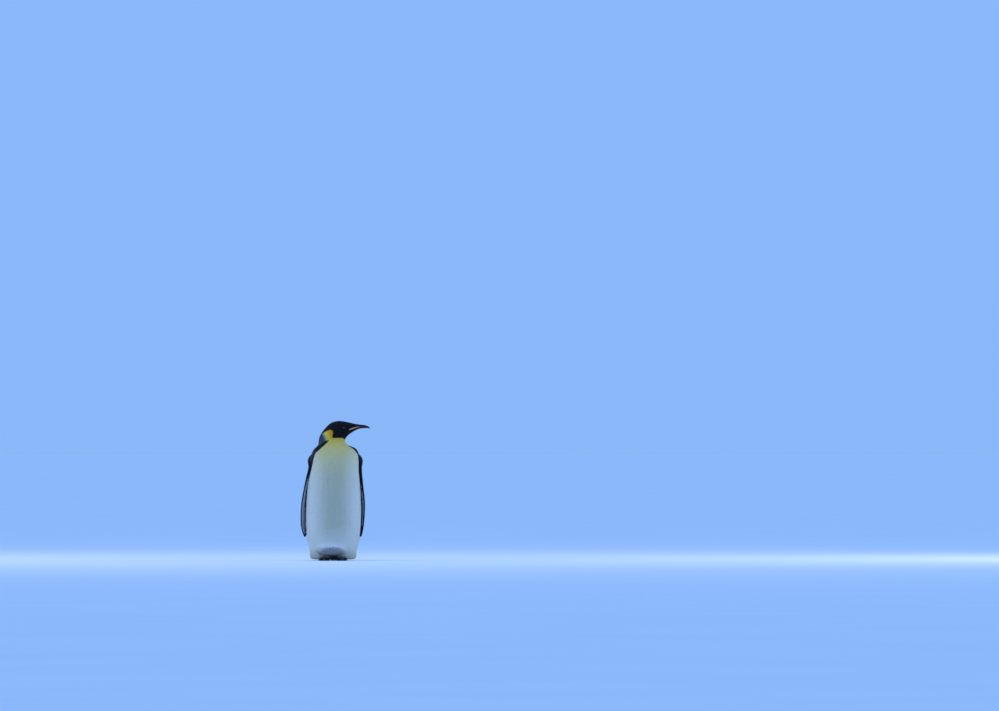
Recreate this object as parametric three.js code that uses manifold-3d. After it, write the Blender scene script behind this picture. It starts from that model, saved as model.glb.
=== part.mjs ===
// An adult emperor penguin standing at rest, its neck drawn in and its head turned to its left.
// Millimetres, +Z up. The bird faces -Y and its bill points along +X, so its own left side is at +X.
// Every surface is the outer envelope of the plumage.

import * as THREE from "three";
import { ParametricGeometry } from "three/addons/geometries/ParametricGeometry.js";
import { mergeVertices } from "three/addons/utils/BufferGeometryUtils.js";
import Module from "manifold-3d";

const wasm = await Module();
wasm.setup();

// ---------------------------------------------------------------- driving dimensions

const GAP = 0.3; // clearance between neighbouring parts
const REACH = 2000; // size of the blocks that part the bird
const MERGE_TOLERANCE = 1e-4;
const SMOOTHNESS = 0.12; // facets flatter than this are joined

const STANCE_CENTRE = -5; // X midway between the feet
const FOOT_SPACING = 112; // between the centre lines of the two feet
const TOE_SPREAD = THREE.MathUtils.degToRad(19); // of the outer and inner toes from the middle one
const HEEL_Y = -34;

const EYE_RADIUS = 12;
const EYE_CENTRE = { x: 67, y: 35, z: 904 };

const NECK_BASE_Z = 779; // where the neck sinks between the shoulders
const PLATE_BULGE = 0.9; // how far the horny bill plates stand proud
const PLATE_DEPTH = 3;

// A level station cuts the body flat at height z: its outline seen from the front is left and right
// (X), its outline seen from the side is front and back (distances from the mid-plane).
const level = (z, left, right, front, back) => ({ upper: [left, z], lower: [right, z], front, back });

// A facing station spans the turned head from its crown side to its throat side, both as [X, Z],
// and is half as thick as it says on each side of the mid-plane.
const facing = (crown, throat, half) => ({ upper: crown, lower: throat, front: half, back: half });

const BODY = [
  level(34, -7, -7, 0, 0),
  level(38, -110, 96, 110, 80),
  level(58, -158, 147, 145, 119),
  level(100, -171, 163, 164, 142),
  level(170, -184, 177, 176, 152),
  level(300, -191, 188, 182, 151),
  level(430, -188, 189, 180, 143),
  level(540, -177, 184, 171, 131),
  level(640, -162, 177, 156, 116),
  level(700, -157, 173, 138, 106),
  level(742, -147, 164, 119, 97),
  level(768, -126, 140, 103, 91),
  level(783, -108, 101, 93, 86),
  facing([-105, 808], [77, 808], 79),
  facing([-101, 834], [75, 821], 70),
  facing([-84, 869], [82, 834], 61),
  facing([-57, 903], [92, 846], 55),
  facing([-20, 937], [105, 858], 50),
  facing([34, 950], [119, 868], 43.5),
  facing([80, 944], [134, 877.5], 34.5),
  facing([113, 937], [150, 886], 25),
  facing([143, 930.5], [168, 894], 18.5),
  facing([172, 925.5], [187, 898], 14),
  facing([204, 922.5], [210, 900], 11),
  facing([228, 915], [229, 900], 8),
  facing([241, 907], [239, 898.5], 5),
  facing([247, 899.5], [247, 899.5], 0),
];
const BODY_DETAIL = { around: 28, perSpan: 2, squareness: 2.15 };
const CORE_DETAIL = { ...BODY_DETAIL, around: 20, perSpan: 1 }; // for hidden surfaces

// Cuts across the head, each through two points seen from the front, as [X, Z].
const HEAD_CUT = { from: [-130, 840], to: [80, 818.5] };
const BILL_CUT = { from: [148, 940], to: [175, 885] };

// The mouth line from the gape to the hooked tip, as [X, Z].
const MOUTH_LINE = [
  [94, 890], [108, 898], [135, 906], [165, 913], [198, 914], [224, 909.5], [236, 904], [240, 893],
];

// The long horny plate on each side of the lower bill: its upper edge runs just under the mouth line.
const PLATE_OUTLINE = {
  upper: [[102, 890.2], [112, 896.2], [135, 904.3], [165, 911.6], [198, 912.8]],
  lower: [[198, 911], [165, 904.8], [135, 896.2], [112, 889.4], [102, 887.4]],
};

const EDGE_STEPS = { mouth: 24, plate: 12 }; // straight steps along each curve

// A flipper hangs from the shoulder. Its leading edge is outermost; "inset" is how far the trailing
// edge lies nearer to the body, so that the pale underside is turned a little to the front.
const flipperStation = (z, outer, lead, trail, inset, thick) => ({ z, outer, lead, trail, inset, thick });
const FLIPPER_RIGHT = [
  flipperStation(728, 140, 0, 4, 0, 0),
  flipperStation(718, 156, -12, 12, 0, 14),
  flipperStation(702, 168, -36, 34, 1, 21),
  flipperStation(678, 175.5, -49, 49, 2, 25),
  flipperStation(636, 171, -52, 50, 4, 19),
  flipperStation(570, 188, -60, 52, 10, 17),
  flipperStation(490, 206, -62, 58, 21, 16),
  flipperStation(400, 223, -54, 62, 32, 14.5),
  flipperStation(310, 230.5, -38, 66, 37, 13),
  flipperStation(230, 227, -18, 68, 36, 11),
  flipperStation(182, 215, 2, 66, 26, 9),
  flipperStation(163, 205, 20, 58, 13, 7),
  flipperStation(156, 198, 38, 42, 0, 0),
];
// The other flipper is the same limb, held a little closer to the body and turned less to the front.
const FLIPPER_LEFT = {
  outer: [160, 174, 187, 194, 189, 194, 204, 214, 212.5, 205, 195, 188, 184],
  inset: [0, 0, 1, 2, 4, 9, 18, 25, 26, 24, 17, 9, 0],
};
const FLIPPER_DETAIL = { around: 14, perSpan: 2 };
const FLIPPER_SECTION = { nose: 0.3, leading: 1.25, trailing: 0.5 }; // shares of the thickness

// The roll of belly skin and feathers that hangs over the feet.
const FOLD = { x: -10, y: -115, z: 86, halfWidth: 110, halfDepth: 78, halfHeight: 51 };

// Facets round a ball's girth, and how many rows of them for each one.
const BALL_DETAIL = { fold: 20, eye: 12, heel: 10, rows: 0.6 };

const LEG = [
  { z: 7, inner: 85, outer: 85, front: 0, back: 0 },
  { z: 12, inner: 36, outer: 148, front: 80, back: 40 },
  { z: 24, inner: 29, outer: 157, front: 100, back: 62 },
  { z: 50, inner: 24, outer: 159, front: 114, back: 86 },
  { z: 90, inner: 22, outer: 158, front: 122, back: 104 },
  { z: 130, inner: 40, outer: 140, front: 100, back: 92 },
  { z: 135, inner: 90, outer: 90, front: 0, back: 0 },
];
const LEG_DETAIL = { around: 16, perSpan: 2, squareness: 2.5 };

// The stiff tail props the bird up behind its heels: half widths and thicknesses along its axis.
const TAIL = [
  { y: 74, z: 184, half: 0, thick: 0 },
  { y: 88, z: 166, half: 58, thick: 66 },
  { y: 128, z: 116, half: 72, thick: 58 },
  { y: 167, z: 70, half: 64, thick: 34 },
  { y: 200, z: 33, half: 50, thick: 19 },
  { y: 228, z: 3, half: 32, thick: 11 },
  { y: 234, z: -4, half: 0, thick: 0 },
];
const TAIL_DETAIL = { around: 16, perSpan: 2, squareness: 2.4 };

const COLOURS = {
  black: 0x15161b,
  slate: 0x3a4350,
  white: 0xe9e6da,
  horn: 0x1b1a1c,
  plate: 0xc98d7c,
  eye: 0x2a1a12,
  skin: 0x26241f,
};
const GLOSS = { feathers: 0.8, skin: 0.6, horn: 0.4, eye: 0.1 }; // roughness of each finish

// ---------------------------------------------------------------- solids

/** A manifold solid from a closed geometry whose faces may point either way. */
function solidFrom(geometry) {
  geometry.deleteAttribute("normal");
  geometry.deleteAttribute("uv");
  const merged = mergeVertices(geometry, MERGE_TOLERANCE);
  const index = merged.index.array;
  const corners = [];
  for (let i = 0; i < index.length; i += 3) {
    const [a, b, c] = [index[i], index[i + 1], index[i + 2]];
    if (a !== b && b !== c && c !== a) corners.push(a, b, c);
  }
  const build = (triangles) =>
    new wasm.Manifold(
      new wasm.Mesh({
        numProp: 3,
        vertProperties: new Float32Array(merged.attributes.position.array),
        triVerts: new Uint32Array(triangles),
      }),
    );
  const body = build(corners);
  return body.volume() > 0 ? body : build(corners.reverse());
}

/** A closed form swept by surface(u around, v along); both ends draw in to a point. */
function closedForm(surface, around, along) {
  return solidFrom(new ParametricGeometry(surface, around, along));
}

/** A point of a superellipse: its angle comes in, its two unit coordinates go out. */
function superellipse(angle, squareness) {
  const bend = (value) => Math.sign(value) * Math.abs(value) ** (2 / squareness);
  return [bend(Math.cos(angle)), bend(Math.sin(angle))];
}

/** A smooth curve through points given as [a, b, c]. */
function curveThrough(points) {
  return new THREE.CatmullRomCurve3(
    points.map(([a, b, c]) => new THREE.Vector3(a, b, c)),
    false,
    "centripetal",
  );
}

/** The body form lofted through its stations, grown outwards by "grow". */
function loft(stations, { around, perSpan, squareness }, grow = 0) {
  const upper = curveThrough(stations.map((s) => [s.upper[0], 0, s.upper[1]]));
  const lower = curveThrough(stations.map((s) => [s.lower[0], 0, s.lower[1]]));
  const depths = curveThrough(stations.map((s) => [s.front, s.back, 0]));
  const surface = (u, v, target) => {
    const [along, across] = superellipse(2 * Math.PI * u, squareness);
    const a = upper.getPoint(v);
    const b = lower.getPoint(v);
    const depth = depths.getPoint(v);
    const centre = a.clone().add(b).multiplyScalar(0.5);
    const half = b.clone().sub(a).multiplyScalar(0.5);
    const stretched = half.length() > 0 ? 1 + grow / half.length() : 1;
    const side = across < 0 ? depth.x : depth.y;
    target.copy(centre).addScaledVector(half, along * stretched);
    target.y += across * (side > 0 ? side + grow : side);
  };
  return closedForm(surface, around, (stations.length - 1) * perSpan);
}

/** A flipper lofted from the shoulder to its tip; side is -1 for the bird's right, +1 for its left. */
function flipper(stations, side) {
  const { around, perSpan } = FLIPPER_DETAIL;
  const { nose, leading, trailing } = FLIPPER_SECTION;
  const places = curveThrough(stations.map((s) => [s.outer, s.inset, s.z]));
  const chords = curveThrough(stations.map((s) => [s.lead, s.trail, s.thick]));
  const surface = (u, v, target) => {
    const angle = 2 * Math.PI * u;
    const place = places.getPoint(v);
    const chord = chords.getPoint(v);
    const back = (1 - Math.cos(angle)) / 2;
    const fullness = THREE.MathUtils.lerp(leading, trailing, back);
    const half = (chord.z / 2) * Math.sin(angle) * fullness;
    const middle = place.x - chord.z * nose - place.y * back;
    target.set(side * (middle + half), chord.x + (chord.y - chord.x) * back, place.z);
  };
  return closedForm(surface, around, (stations.length - 1) * perSpan);
}

/** An ellipsoid centred at x, y, z, grown outwards by "grow", with "around" facets round its girth. */
function ellipsoid({ x, y, z, halfWidth, halfDepth, halfHeight }, around, grow = 0) {
  const ball = new THREE.SphereGeometry(1, around, Math.round(around * BALL_DETAIL.rows));
  ball.scale(halfWidth + grow, halfDepth + grow, halfHeight + grow);
  ball.translate(x, y, z);
  return solidFrom(ball);
}

/** A block that fills everything on one side of a plane seen from the front as from -> to. */
function beyond({ from, to }, offset = 0) {
  const block = new THREE.BoxGeometry(REACH, REACH, REACH);
  block.translate(0, 0, REACH / 2 + offset);
  block.rotateY(-Math.atan2(to[1] - from[1], to[0] - from[0]));
  block.translate(from[0], 0, from[1]);
  return solidFrom(block);
}

/** The same block, above a level plane. */
const above = (z) => beyond({ from: [0, z], to: [1, z] });

/** A prism through the bird along Y from an outline of [X, Z] points. */
function prism(points) {
  const outline = new THREE.Shape(points.map(([x, z]) => new THREE.Vector2(x, z)));
  const body = new THREE.ExtrudeGeometry(outline, { depth: REACH, bevelEnabled: false });
  body.translate(0, 0, -REACH / 2);
  body.rotateX(Math.PI / 2);
  return solidFrom(body);
}

/** Points moved up or down by "lift". */
const lifted = (points, lift) => points.map(([x, z]) => [x, z + lift]);

/** A smooth row of points through a few given ones. */
function smoothed(points, steps) {
  const curve = new THREE.SplineCurve(points.map(([x, z]) => new THREE.Vector2(x, z)));
  return curve.getPoints(steps).map((point) => [point.x, point.y]);
}

/** Everything above the mouth line, which is moved by "lift". */
function aboveMouth(lift) {
  const line = smoothed(MOUTH_LINE, EDGE_STEPS.mouth);
  const [first, last] = [line[0], line[line.length - 1]];
  const corners = [[REACH, last[1]], [REACH, REACH], [-REACH, REACH], [-REACH, first[1]]];
  return prism(lifted([...line, ...corners], lift));
}

/** The band of a bill plate seen from the side, widened all round by "grow". */
function plateBand(grow) {
  const upper = lifted(smoothed(PLATE_OUTLINE.upper, EDGE_STEPS.plate), grow);
  const lower = lifted(smoothed(PLATE_OUTLINE.lower, EDGE_STEPS.plate), -grow);
  upper[0][0] -= grow;
  upper[upper.length - 1][0] += grow;
  lower[0][0] += grow;
  lower[lower.length - 1][0] -= grow;
  return prism([...upper, ...lower]);
}

/** One side of the head's mid-plane: -1 towards -Y, +1 towards +Y. */
function sideBlock(side) {
  const block = new THREE.BoxGeometry(REACH, REACH, REACH);
  block.translate(0, (side * REACH) / 2, 0);
  return solidFrom(block);
}

// ---------------------------------------------------------------- feet

const TOES = [
  { name: "outer", turn: 1, length: 108, radii: [18, 13] },
  { name: "middle", turn: 0, length: 126, radii: [19, 13.5] },
  { name: "inner", turn: -0.9, length: 98, radii: [17, 12.5] },
];
const TOE_DETAIL = { around: 8, along: 5 };
const TOE_FLATTEN = 0.84; // height of a toe as a share of its width
const TOE_BLUNTNESS = 0.3; // the power that rounds a toe's ends; smaller is blunter
const SOLE_DROP = [2, 1.5]; // how far a toe's root and tip reach below the floor before they are cut flat
const HEEL_PAD = { forward: 6, z: 12, halfWidth: 27, halfDepth: 34, halfHeight: 17 };
const WEB = { thickness: 8, reach: 0.86, notch: 0.2 }; // reach and notch as shares of the toes
const CLAW = { sunk: 11, length: 38, rise: 4, tipHeight: 1.6, radii: [6.6, 1.2] };
const HIND_TOE = { inward: 0.86, back: 0.1, start: 18, length: 22, heights: [8, 6], radii: [7, 6] };

/** A tapering limb between two points, grown outwards by "grow". */
function taper({ from, to, radii, flatten = 1 }, grow = 0) {
  const start = new THREE.Vector3(...from);
  const axis = new THREE.Vector3(...to).sub(start);
  const sideways = new THREE.Vector3(axis.y, -axis.x, 0).normalize();
  const surface = (u, v, target) => {
    const angle = 2 * Math.PI * u;
    const swell = v === 0 || v === 1 ? 0 : Math.sin(Math.PI * v) ** TOE_BLUNTNESS;
    const radius = (THREE.MathUtils.lerp(...radii, v) + grow) * swell;
    target.copy(start).addScaledVector(axis, v).addScaledVector(sideways, radius * Math.cos(angle));
    target.z += radius * flatten * Math.sin(angle);
  };
  return closedForm(surface, TOE_DETAIL.around, TOE_DETAIL.along);
}

/** Direction of a toe on the floor; side is -1 for the bird's right foot. */
function toeDirection(side, turn) {
  return new THREE.Vector3(side * Math.sin(turn * TOE_SPREAD), -Math.cos(turn * TOE_SPREAD), 0);
}

/** The web between two toes: a thin flat triangle with its front edge drawn in. */
function web(heel, tips) {
  const [a, b] = tips;
  const middle = a.clone().add(b).multiplyScalar(0.5).lerp(heel, WEB.notch);
  const outline = new THREE.Shape([heel, a, middle, b].map((point) => new THREE.Vector2(point.x, point.y)));
  const sheet = new THREE.ExtrudeGeometry(outline, { depth: WEB.thickness, bevelEnabled: false });
  return solidFrom(sheet);
}

/** The claw of a toe that runs from the heel along "direction"; "height" is the toe tip's middle. */
function clawShape(heel, direction, length, height) {
  const root = heel.clone().addScaledVector(direction, length - CLAW.sunk);
  const tip = root.clone().addScaledVector(direction, CLAW.length);
  const ends = { from: [root.x, root.y, height + CLAW.rise], to: [tip.x, tip.y, CLAW.tipHeight] };
  return { ...ends, radii: CLAW.radii };
}

/** The small hind toe on the foot's inner side. */
function hindToe(side, heel) {
  const inwards = new THREE.Vector3(-side * HIND_TOE.inward, HIND_TOE.back, 0);
  const root = heel.clone().addScaledVector(inwards, HIND_TOE.start);
  const tip = root.clone().addScaledVector(inwards, HIND_TOE.length);
  const [rootHeight, tipHeight] = HIND_TOE.heights;
  return taper({ from: [root.x, root.y, rootHeight], to: [tip.x, tip.y, tipHeight], radii: HIND_TOE.radii });
}

/** One foot: three webbed toes, a hind toe and the pad under the heel, with its claws apart. */
function foot(side) {
  const heel = new THREE.Vector3(STANCE_CENTRE + (side * FOOT_SPACING) / 2, HEEL_Y, 0);
  const pad = { ...HEEL_PAD, x: heel.x, y: heel.y - HEEL_PAD.forward };
  let body = ellipsoid(pad, BALL_DETAIL.heel).add(hindToe(side, heel));
  const claws = [];
  const tips = [];
  for (const { name, turn, length, radii } of TOES) {
    const direction = toeDirection(side, turn);
    const [rootHeight, tipHeight] = radii.map((radius, i) => radius * TOE_FLATTEN - SOLE_DROP[i]);
    const tip = heel.clone().addScaledVector(direction, length);
    const ends = { from: [heel.x, heel.y, rootHeight], to: [tip.x, tip.y, tipHeight] };
    body = body.add(taper({ ...ends, radii, flatten: TOE_FLATTEN }));
    tips.push(heel.clone().addScaledVector(direction, length * WEB.reach));
    claws.push({ name, shape: clawShape(heel, direction, length, tipHeight) });
  }
  body = body.add(web(heel, [tips[0], tips[1]])).add(web(heel, [tips[1], tips[2]]));
  for (const { shape } of claws) body = body.subtract(taper(shape, GAP));
  return { body: body.intersect(above(0)), claws };
}

/** The feathered leg that covers the top of a foot; side is -1 for the bird's right. */
function leg(side, grow = 0) {
  const stations = LEG.map(({ z, inner, outer, front, back }) => {
    const ends = [STANCE_CENTRE + side * outer, STANCE_CENTRE + side * inner];
    return level(z, Math.min(...ends), Math.max(...ends), front, back);
  });
  return loft(stations, LEG_DETAIL, grow);
}

/** The tail wedge, flat where it meets the floor. */
function tail(grow = 0) {
  const { around, perSpan, squareness } = TAIL_DETAIL;
  const spine = curveThrough(TAIL.map((s) => [0, s.y, s.z]));
  const sizes = curveThrough(TAIL.map((s) => [s.half, s.thick, 0]));
  const surface = (u, v, target) => {
    const [along, across] = superellipse(2 * Math.PI * u, squareness);
    const size = sizes.getPoint(v);
    const axis = spine.getTangent(v);
    const upwards = new THREE.Vector3(0, -axis.z, axis.y);
    const open = size.x > 0 ? grow : 0;
    target.copy(spine.getPoint(v)).addScaledVector(upwards, across * (size.y / 2 + open));
    target.x = STANCE_CENTRE + along * (size.x + open);
  };
  return closedForm(surface, around, (TAIL.length - 1) * perSpan).intersect(above(-grow));
}

// ---------------------------------------------------------------- the bird

const group = new THREE.Group();

/** Adds a solid to the bird as a named mesh. */
function addPart(name, body, colour, roughness = GLOSS.feathers) {
  const { vertProperties, triVerts } = body.simplify(SMOOTHNESS).getMesh();
  const geometry = new THREE.BufferGeometry();
  geometry.setAttribute("position", new THREE.BufferAttribute(vertProperties, 3));
  geometry.setIndex(new THREE.BufferAttribute(triVerts, 1));
  geometry.computeVertexNormals();
  const finish = new THREE.MeshStandardMaterial({ color: colour, roughness, metalness: 0 });
  const mesh = new THREE.Mesh(geometry, finish);
  mesh.name = name;
  group.add(mesh);
}

const bird = loft(BODY, BODY_DETAIL);
const birdGrown = loft(BODY, BODY_DETAIL, GAP);
const trunkGrown = birdGrown.subtract(above(NECK_BASE_Z + GAP));

const trunk = bird.subtract(above(NECK_BASE_Z));
const overShoulders = bird.intersect(above(NECK_BASE_Z + GAP));
const neck = overShoulders.subtract(beyond(HEAD_CUT));
const headAndBill = overShoulders.intersect(beyond(HEAD_CUT, GAP));
const headWhole = headAndBill.subtract(beyond(BILL_CUT));
const bill = headAndBill.intersect(beyond(BILL_CUT, GAP));

addPart("trunk", trunk, COLOURS.white);
addPart("neck", neck, COLOURS.slate);

const plateSkin = loft(BODY, BODY_DETAIL, PLATE_BULGE);
const plateCore = loft(BODY, CORE_DETAIL, -PLATE_DEPTH);
const socketCore = loft(BODY, CORE_DETAIL, -PLATE_DEPTH - GAP);
const plateSocket = plateBand(GAP).subtract(socketCore);
const plates = plateBand(0).intersect(plateSkin).subtract(plateCore);

let head = headWhole.subtract(plateSocket);
for (const [name, side] of [["eye_right", -1], ["eye_left", 1]]) {
  const { x, y, z } = EYE_CENTRE;
  const radii = { halfWidth: EYE_RADIUS, halfDepth: EYE_RADIUS, halfHeight: EYE_RADIUS };
  const ball = (grow) => ellipsoid({ x, y: side * y, z, ...radii }, BALL_DETAIL.eye, grow);
  head = head.subtract(ball(GAP));
  addPart(name, ball(0), COLOURS.eye, GLOSS.eye);
}
addPart("head", head, COLOURS.black);
addPart("bill_upper", bill.intersect(aboveMouth(GAP)).subtract(plateSocket), COLOURS.horn, GLOSS.horn);
addPart("bill_lower", bill.subtract(aboveMouth(0)).subtract(plateSocket), COLOURS.horn, GLOSS.horn);
for (const [name, side] of [["bill_plate_right", -1], ["bill_plate_left", 1]]) {
  addPart(name, plates.intersect(sideBlock(side)), COLOURS.plate, GLOSS.horn);
}

addPart("flipper_right", flipper(FLIPPER_RIGHT, -1).subtract(trunkGrown), COLOURS.slate);
const flipperLeft = FLIPPER_RIGHT.map((station, i) => {
  return { ...station, outer: FLIPPER_LEFT.outer[i], inset: FLIPPER_LEFT.inset[i] };
});
addPart("flipper_left", flipper(flipperLeft, 1).subtract(trunkGrown), COLOURS.slate);

const fold = ellipsoid(FOLD, BALL_DETAIL.fold);
const foldGrown = ellipsoid(FOLD, BALL_DETAIL.fold, GAP);
addPart("brood_fold", fold.subtract(trunkGrown), COLOURS.white);
addPart("tail", tail().subtract(trunkGrown), COLOURS.slate);
const aroundLegs = trunkGrown.add(foldGrown).add(tail(GAP));
for (const [name, side] of [["right", -1], ["left", 1]]) {
  const { body, claws } = foot(side);
  const aroundFoot = leg(side, GAP).translate(0, 0, -GAP).add(foldGrown);
  addPart(`leg_${name}`, leg(side).subtract(aroundLegs), COLOURS.white);
  addPart(`foot_${name}`, body.subtract(aroundFoot), COLOURS.skin, GLOSS.skin);
  for (const claw of claws) {
    addPart(`claw_${name}_${claw.name}`, taper(claw.shape), COLOURS.horn, GLOSS.horn);
  }
}

// The origin goes to the middle of the bird's outline on the floor.
const bounds = new THREE.Box3().setFromObject(group);
const middle = bounds.getCenter(new THREE.Vector3());
group.position.set(-middle.x, -middle.y, -bounds.min.z);

export default group;
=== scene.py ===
"""An emperor penguin at rest, life size: one skin, its coat of feathers, the bill, the eyes and the claws."""

import logging
import math
from collections.abc import Iterable, Sequence
from dataclasses import dataclass
from enum import Enum

import bmesh
import bpy
import numpy as np
from bmesh.types import BMEdge, BMesh, BMVert
from bpy.types import Material, Mesh, Node, NodeSocket, NodeTree, Object, bpy_prop_collection
from mathutils import Matrix, Vector
from mathutils.bvhtree import BVHTree
from mathutils.kdtree import KDTree


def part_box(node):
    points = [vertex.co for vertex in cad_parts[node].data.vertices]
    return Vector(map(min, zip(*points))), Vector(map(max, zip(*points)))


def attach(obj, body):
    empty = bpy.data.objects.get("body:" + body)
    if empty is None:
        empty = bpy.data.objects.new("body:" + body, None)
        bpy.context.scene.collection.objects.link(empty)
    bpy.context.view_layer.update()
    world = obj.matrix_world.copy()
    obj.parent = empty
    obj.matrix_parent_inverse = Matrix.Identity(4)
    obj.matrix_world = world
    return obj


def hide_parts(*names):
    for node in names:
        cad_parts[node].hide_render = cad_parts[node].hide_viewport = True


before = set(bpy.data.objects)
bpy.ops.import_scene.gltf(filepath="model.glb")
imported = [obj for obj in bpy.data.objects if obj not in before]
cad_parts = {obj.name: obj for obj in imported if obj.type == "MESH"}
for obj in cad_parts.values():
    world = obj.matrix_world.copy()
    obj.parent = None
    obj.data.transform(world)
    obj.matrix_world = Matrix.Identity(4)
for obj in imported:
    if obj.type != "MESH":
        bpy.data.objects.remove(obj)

Array = np.ndarray
# The node that gives a finish its colour, and the one that gives it its relief.
Drawn = tuple[Node, Node | None]

LOG = logging.getLogger("penguin")
MM = 0.001
BAKE_MAP = "OFBake"
COLOUR = "plumage"
BODY = "root"
# Where the back begins, in millimetres behind the bird's own axis.
BACK_AT = 20
# How far the eyes lie from that axis towards the bill.
EYES_AT = 67.0 * MM
# CAD corners closer than this are one corner.
MERGE = 0.01 * MM
QUARTER_TURN = Matrix.Rotation(math.radians(90), 3, "X")


def linear(hex_colour: str) -> tuple[float, float, float, float]:
    """Turn an sRGB hex colour into linear red, green, blue and alpha.

    Args:
        hex_colour: six hex digits after a hash sign.

    Returns:
        Four numbers from 0 to 1.
    """
    shares = [int(hex_colour[i : i + 2], 16) / 255 for i in (1, 3, 5)]
    turned = [s / 12.92 if s <= 0.04045 else ((s + 0.055) / 1.055) ** 2.4 for s in shares]
    return (turned[0], turned[1], turned[2], 1.0)


def tint(hex_colour: str) -> Array:
    """Return the linear red, green and blue of a hex colour as an array."""
    return np.array(linear(hex_colour)[:3])


def ramp(values: Array, low: float | Array, high: float | Array) -> Array:
    """Rise smoothly from 0 at low to 1 at high.

    Args:
        values: where to read the ramp.
        low: the value at which it starts.
        high: the value at which it ends.

    Returns:
        One share from 0 to 1 for each value.
    """
    share = np.clip((values - low) / (high - low), 0.0, 1.0)
    return share * share * (3.0 - 2.0 * share)


def mixed(first: Array, second: Array, share: Array) -> Array:
    """Mix two sets of colours by a share for each row."""
    return first + (second - first) * share[:, None]


def unit(vectors: Array) -> Array:
    """Scale each row to a length of one."""
    return vectors / np.maximum(np.linalg.norm(vectors, axis=1, keepdims=True), 1e-12)


def flattened(ways: Array, normals: Array) -> Array:
    """Lay each row's way along the surface whose normal is given, at a length of one."""
    return unit(ways - normals * np.einsum("ij,ij->i", ways, normals)[:, None])


def rounded(outline: Sequence[tuple[float, float]]) -> Array:
    """Cut off each corner of a closed outline, a quarter of the way along its sides."""
    points = np.array(outline, float)
    after = np.roll(points, -1, axis=0)
    return np.stack([points * 0.75 + after * 0.25, points * 0.25 + after * 0.75], axis=1).reshape(-1, 2)


def along_table(height: Array, table: Sequence[tuple[float, float]]) -> Array:
    """Read a table of heights and values at each height, in between its rows too."""
    return np.interp(height, *zip(*table))


def read(items: bpy_prop_collection, name: str, width: int, kind: type = float) -> Array:
    """Read one property of many parts of a mesh.

    Args:
        items: the mesh's points, edges, corners or triangles.
        name: the property.
        width: how many numbers it has.
        kind: the type of the numbers.

    Returns:
        One row for each item.
    """
    numbers = np.empty(len(items) * width, kind)
    items.foreach_get(name, numbers)
    return numbers.reshape(-1, width)


def registered(piece: Object, slot: str, *nodes: str) -> Object:
    """Hide the CAD nodes that a finished piece replaces, and make it ride on the bird.

    Args:
        piece: the piece.
        slot: not used.
        *nodes: the CAD nodes that it replaces.

    Returns:
        The same piece.
    """
    if nodes:
        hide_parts(*nodes)
    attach(piece, BODY)
    return piece


def within(points: Array, outline: Array) -> Array:
    """Measure how far each point lies inside a closed outline.

    Args:
        points: flat points, one per row.
        outline: the outline's corners, one per row.

    Returns:
        Distances that are positive inside and negative outside.
    """
    nearest = np.full(len(points), np.inf)
    inside = np.zeros(len(points), bool)
    for start, end in zip(outline, np.roll(outline, -1, axis=0)):
        edge = end - start
        along = np.clip(((points - start) @ edge) / max(edge @ edge, 1e-12), 0.0, 1.0)
        gap = np.linalg.norm(points - start - along[:, None] * edge, axis=1)
        nearest = np.minimum(nearest, gap)
        if edge[1] != 0.0:
            crosses = (start[1] > points[:, 1]) != (end[1] > points[:, 1])
            at = start[0] + edge[0] * (points[:, 1] - start[1]) / edge[1]
            inside ^= crosses & (points[:, 0] < at)
    return np.where(inside, nearest, -nearest)


def add_node(tree: NodeTree, kind: str, inputs: dict | None = None, **settings: object) -> Node:
    """Add one shader node with its settings and links.

    Args:
        tree: the material's node tree.
        kind: the shader node's type.
        inputs: for each input's name or number, a value or the socket that feeds it.
        **settings: the node's own properties.

    Returns:
        The new node.
    """
    node = tree.nodes.new(f"ShaderNode{kind}")
    for name, value in settings.items():
        setattr(node, name, value)
    for name, value in (inputs or {}).items():
        if isinstance(value, NodeSocket):
            tree.links.new(value, node.inputs[name])
        else:
            node.inputs[name].default_value = value
    return node


def set_stops(node: Node, stops: Sequence[tuple[float, str]]) -> None:
    """Give a colour ramp node its stops.

    Args:
        node: the colour ramp.
        stops: places from 0 to 1, each with a hex colour.
    """
    elements = node.color_ramp.elements
    while len(elements) < len(stops):
        elements.new(1.0)
    for element, (place, colour) in zip(elements, stops):
        element.position = place
        element.color = linear(colour)


@dataclass(frozen=True)
class Finish:
    """What every finish has: a name and the values that are the same all over."""

    name: str
    roughness: float
    specular: float = 0.5
    ior: float = 1.5
    coat: float = 0.0
    coat_roughness: float = 0.08
    sheen: float = 0.0
    sheen_roughness: float = 0.45
    bump: float = 0.0
    rise: float = 0.0

    def make(self) -> Material:
        """Make the material from what draw gives it.

        Returns:
            The material.
        """
        material = bpy.data.materials.new(self.name)
        material.use_nodes = True
        tree = material.node_tree
        tree.nodes.clear()
        colour, relief = self.draw(tree, add_node(tree, "TexCoord").outputs["Object"])
        inputs = {
            "Base Color": colour.outputs[0],
            "Roughness": self.roughness,
            "Specular IOR Level": self.specular,
            "IOR": self.ior,
            "Coat Weight": self.coat,
            "Coat Roughness": self.coat_roughness,
            "Sheen Weight": self.sheen,
            "Sheen Roughness": self.sheen_roughness,
        }
        if relief is not None:
            raised = {"Height": relief.outputs[0], "Strength": self.bump, "Distance": self.rise}
            inputs["Normal"] = add_node(tree, "Bump", raised).outputs[0]
        shader = add_node(tree, "BsdfPrincipled", inputs)
        add_node(tree, "OutputMaterial", {"Surface": shader.outputs[0]})
        return material

    def draw(self, tree: NodeTree, place: NodeSocket) -> Drawn:
        """Add the nodes of the finish's own pattern.

        Args:
            tree: the material's node tree.
            place: the socket that gives the place in metres.

        Returns:
            The node that gives the colour, and the one that gives the relief, if there is one.
        """
        raise NotImplementedError(self.name)


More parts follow.
